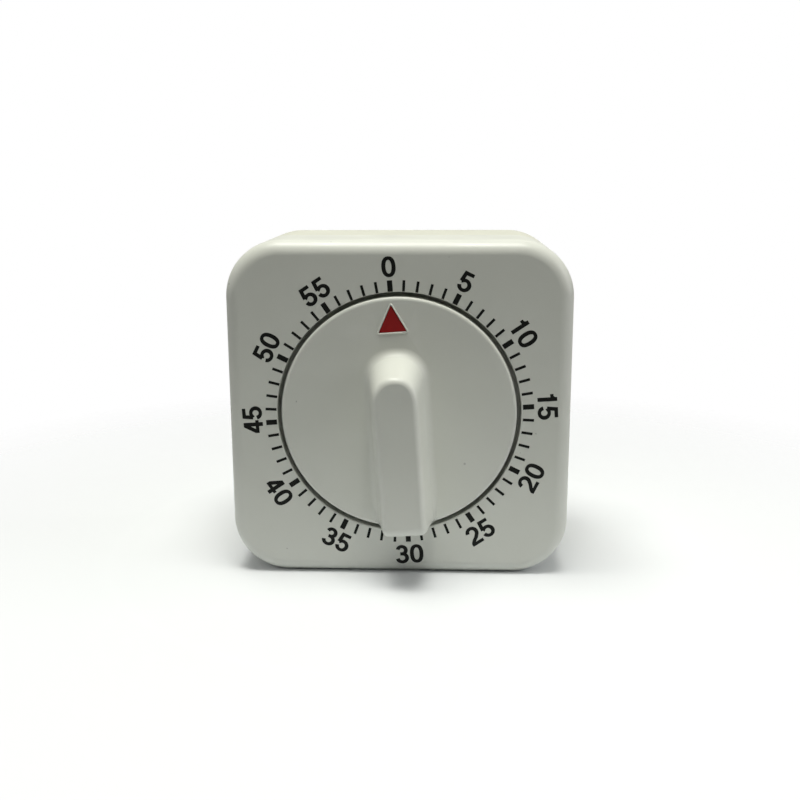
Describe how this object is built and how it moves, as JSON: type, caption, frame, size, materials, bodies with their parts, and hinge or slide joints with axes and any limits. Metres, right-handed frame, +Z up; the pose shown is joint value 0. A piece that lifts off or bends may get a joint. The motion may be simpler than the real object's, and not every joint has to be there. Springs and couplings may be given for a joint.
{
  "type": "kitchen timer",
  "caption": "Square 60-minute mechanical kitchen timer with a round bar-handled dial, gear train, mainspring, bell and alarm hammer inside.",
  "frame": {"origin": "middle of the flat bottom side, at the middle of the housing's depth", "axes": "+Z up, the dial faces -Y, +X to the right as seen from the front"},
  "size_m": [0.07, 0.0486, 0.0695],
  "materials": {
    "ivory_plastic": "satin moulded off-white plastic",
    "rear_plastic": "satin moulded plastic, slightly greener than the front",
    "red_inlay": "satin red pointer",
    "brass": "machined and stamped brass",
    "steel": "turned bright steel",
    "spring_steel": "blued spring steel",
    "zinc": "zinc-plated steel",
    "ferrite": "sintered ferrite",
    "bell_nickel": "nickel-plated steel cup",
    "white_acetal": "natural acetal"
  },
  "bodies": {
    "housing": {"front_shell": "ivory_plastic", "rear_cover": "rear_plastic", "cover_screw_1": "zinc", "cover_screw_2": "zinc", "cover_screw_3": "zinc", "cover_screw_4": "zinc", "back_magnet": "ferrite", "front_plate": "brass", "rear_plate": "brass", "lever_stud": "steel", "pillar_1": "steel", "pillar_2": "steel", "pillar_3": "steel", "pillar_nut_1": "zinc", "pillar_nut_2": "zinc", "pillar_nut_3": "zinc", "movement_screw_1": "zinc", "movement_screw_2": "zinc", "movement_screw_3": "zinc", "bell": "bell_nickel", "bell_post": "steel", "bell_nut": "zinc"},
    "dial": {"knob": "ivory_plastic", "pointer_inlay": "red_inlay", "main_arbor": "steel", "main_wheel": "brass", "friction_washer": "spring_steel", "alarm_cam": "white_acetal"},
    "barrel": {"spring_barrel": "brass", "barrel_lid": "brass", "mainspring": "spring_steel"},
    "second_gear": {"second_arbor": "steel", "second_wheel": "brass"},
    "third_gear": {"third_arbor": "steel", "third_wheel": "brass"},
    "escape_gear": {"escape_arbor": "steel", "escape_wheel": "brass"},
    "pallet": {"pallet_arbor": "steel", "pallet_anchor": "steel", "balance_bar": "brass"},
    "alarm_gear": {"alarm_arbor": "steel", "star_wheel": "steel"},
    "hammer": {"hammer_arbor": "steel", "hammer_anchor": "steel", "hammer_arm": "steel", "hammer_head": "brass"},
    "alarm_lever": {"alarm_lever": "steel"}
  },
  "joints": [
    {"name": "dial_turn", "type": "hinge", "parent": "housing", "child": "dial", "pos_m": [0, 0, 0.0345], "axis": [0, 1, 0], "range_deg": [0, 353.9]},
    {"name": "second_turn", "type": "hinge", "parent": "housing", "child": "second_gear", "pos_m": [-0.01082, 0, 0.04532], "axis": [0, 1, 0], "range_deg": [-2655.55, 0]},
    {"name": "third_turn", "type": "hinge", "parent": "housing", "child": "third_gear", "pos_m": [0.00151, 0, 0.05107], "axis": [0, 1, 0], "range_deg": [0, 19916.62]},
    {"name": "escape_turn", "type": "hinge", "parent": "housing", "child": "escape_gear", "pos_m": [0.01229, 0, 0.04604], "axis": [0, 1, 0], "range_deg": [-149374.65, 0]},
    {"name": "pallet_rock", "type": "hinge", "parent": "housing", "child": "pallet", "pos_m": [0.02017, 0, 0.04743], "axis": [0, 1, 0], "range_deg": [-8, 8]},
    {"name": "barrel_turn", "type": "hinge", "parent": "housing", "child": "barrel", "pos_m": [0, 0, 0.0345], "axis": [0, 1, 0], "continuous": true},
    {"name": "alarm_turn", "type": "hinge", "parent": "housing", "child": "alarm_gear", "pos_m": [-0.00666, 0, 0.02023], "axis": [0, 1, 0], "continuous": true},
    {"name": "hammer_swing", "type": "hinge", "parent": "housing", "child": "hammer", "pos_m": [-0.01417, 0, 0.01749], "axis": [0, 1, 0], "range_deg": [-8, 8]},
    {"name": "lever_drop", "type": "hinge", "parent": "housing", "child": "alarm_lever", "pos_m": [0.0095, 0, 0.021], "axis": [0, 1, 0], "range_deg": [0, 10]}
  ],
  "couplings": [
    {"joint": "second_turn", "follows": "dial_turn", "ratio": -7.5},
    {"joint": "third_turn", "follows": "dial_turn", "ratio": 56.25},
    {"joint": "escape_turn", "follows": "dial_turn", "ratio": -421.88},
    {"joint": "alarm_turn", "follows": "barrel_turn", "ratio": -6}
  ]
}
